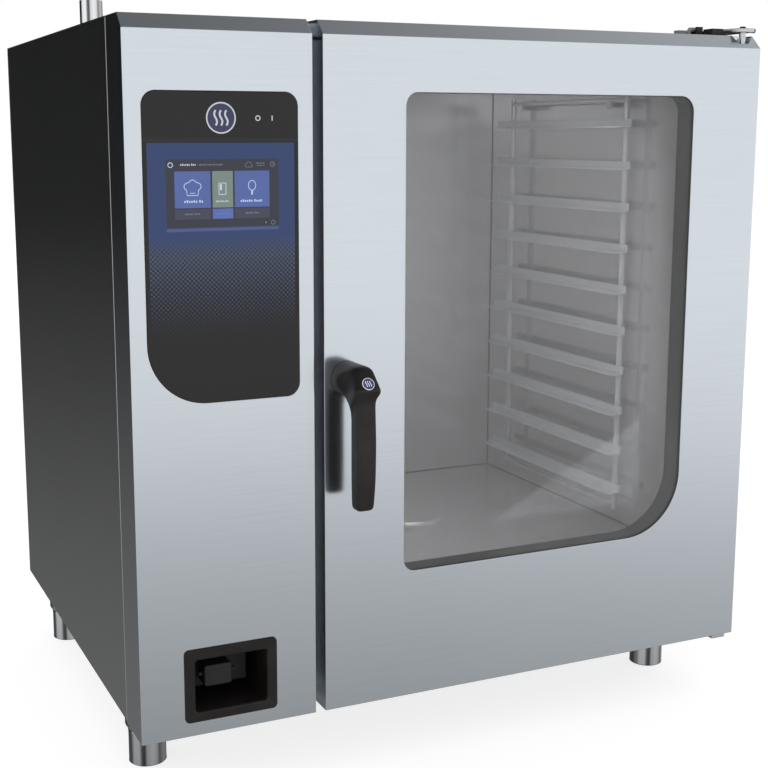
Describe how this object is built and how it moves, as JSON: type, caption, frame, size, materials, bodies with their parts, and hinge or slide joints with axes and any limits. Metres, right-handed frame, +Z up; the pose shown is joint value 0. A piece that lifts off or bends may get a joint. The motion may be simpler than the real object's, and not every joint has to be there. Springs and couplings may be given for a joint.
{
  "type": "combi steamer oven",
  "caption": "Counter combi steamer with a glazed door hinged on the right, a touch panel on the left, a hand shower recess, hanging racks and adjustable feet.",
  "frame": {"origin": "middle of the four feet, on the floor", "axes": "+Z up, -Y out of the door towards the user, +X to the user's right"},
  "size_m": [0.997, 0.872, 1.134],
  "materials": {
    "steel_front": "brushed stainless sheet, fine grain",
    "steel_side": "brushed stainless sheet, darker in reflection",
    "steel_inner": "satin stainless sheet",
    "steel_plain": "plain stainless steel",
    "steel_foot": "turned stainless steel",
    "chrome": "polished",
    "zinc": "galvanised sheet",
    "black_glass": "black printed glass, glossy, opaque",
    "clear_glass": "clear tempered glass",
    "black_plastic": "fine grained moulded plastic",
    "dark_surround": "matt dark coating",
    "grey_plastic": "moulded plastic",
    "circuit": "printed circuit board",
    "silicone": "matt silicone",
    "hose": "smooth hose",
    "wool": "mineral wool",
    "led": "diffuser",
    "motor": "painted casting",
    "aluminium": "cast, satin",
    "brass": "turned"
  },
  "bodies": {
    "housing": {"base_frame": "steel_plain", "bottom_panel": "zinc", "left_side_panel": "steel_side", "right_side_panel": "steel_side", "top_panel": "steel_side", "rear_panel": "zinc", "water_inlets": "brass", "cable_gland": "grey_plastic", "solenoid_valves": "grey_plastic", "vent_pipe": "chrome", "top_hinge_plate": "steel_plain", "hinge_screws": "black_plastic", "door_switch": "black_plastic", "switch_cable": "grey_plastic", "control_housing": "steel_front", "control_glass": "black_glass", "display_module": "black_plastic", "control_board": "circuit", "shower_recess": "black_plastic", "reel_bracket": "zinc", "front_frame": "steel_inner", "latch_keeper": "steel_plain", "door_gasket": "silicone", "cavity_liner": "steel_inner", "insulation": "wool", "air_baffle": "steel_inner", "motor_plate": "zinc", "fan_motor": "motor", "heating_elements": "steel_plain", "water_injector": "steel_plain", "drain_strainer": "steel_inner", "drain_pipe": "steel_plain", "rack_studs": "steel_plain", "bottom_hinge_bracket": "steel_plain", "electrical_panel": "zinc", "contactors": "grey_plastic", "foot_sleeves": "steel_foot"},
    "door": {"door_skin": "steel_front", "door_outer_glass": "clear_glass", "window_surround": "dark_surround", "led_strips": "led", "door_liner": "steel_inner", "door_inner_glass": "clear_glass", "glass_clips": "steel_plain", "hinge_bushes": "brass", "handle_rosette": "black_plastic"},
    "handle": {"handle_lever": "black_plastic", "handle_spindle": "steel_plain", "latch_tongue": "steel_plain"},
    "fan": {"fan_wheel": "steel_plain", "fan_shaft": "steel_plain"},
    "shower": {"hand_shower": "black_plastic", "shower_hose": "hose"},
    "reel": {"hose_reel": "grey_plastic"},
    "left_rack": {"rack_left": "steel_inner"},
    "right_rack": {"rack_right": "steel_inner"},
    "front_left_foot": {"foot_front_left": "steel_foot"},
    "front_right_foot": {"foot_front_right": "steel_foot"},
    "rear_left_foot": {"foot_rear_left": "steel_foot"},
    "rear_right_foot": {"foot_rear_right": "steel_foot"}
  },
  "joints": [
    {"name": "door_hinge", "type": "hinge", "parent": "housing", "child": "door", "pos_m": [0.477, -0.41235, 0.58], "axis": [0, 0, 1], "range_deg": [0, 135]},
    {"name": "handle_turn", "type": "hinge", "parent": "door", "child": "handle", "pos_m": [-0.1955, -0.46985, 0.58], "axis": [0, 1, 0], "range_deg": [-90, 90]},
    {"name": "fan_spin", "type": "hinge", "parent": "housing", "child": "fan", "pos_m": [-0.1985, -0.05085, 0.617], "axis": [1, 0, 0], "continuous": true},
    {"name": "reel_turn", "type": "hinge", "parent": "housing", "child": "reel", "pos_m": [-0.3885, 0.07015, 0.2665], "axis": [1, 0, 0], "range_deg": [-149, 0]},
    {"name": "shower_pull", "type": "slide", "parent": "housing", "child": "shower", "axis": [0, -1, 0], "range_m": [0, 0.25]},
    {"name": "left_rack_lift", "type": "slide", "parent": "housing", "child": "left_rack", "axis": [0, 0, 1], "range_m": [0, 0.012]},
    {"name": "right_rack_lift", "type": "slide", "parent": "housing", "child": "right_rack", "axis": [0, 0, 1], "range_m": [0, 0.012]},
    {"name": "front_left_level", "type": "slide", "parent": "housing", "child": "front_left_foot", "axis": [0, 0, -1], "range_m": [0, 0.02]},
    {"name": "front_right_level", "type": "slide", "parent": "housing", "child": "front_right_foot", "axis": [0, 0, -1], "range_m": [0, 0.02]},
    {"name": "rear_left_level", "type": "slide", "parent": "housing", "child": "rear_left_foot", "axis": [0, 0, -1], "range_m": [0, 0.02]},
    {"name": "rear_right_level", "type": "slide", "parent": "housing", "child": "rear_right_foot", "axis": [0, 0, -1], "range_m": [0, 0.02]}
  ],
  "couplings": [
    {"joint": "shower_pull", "follows": "reel_turn", "m_per_rad": -0.0955}
  ]
}
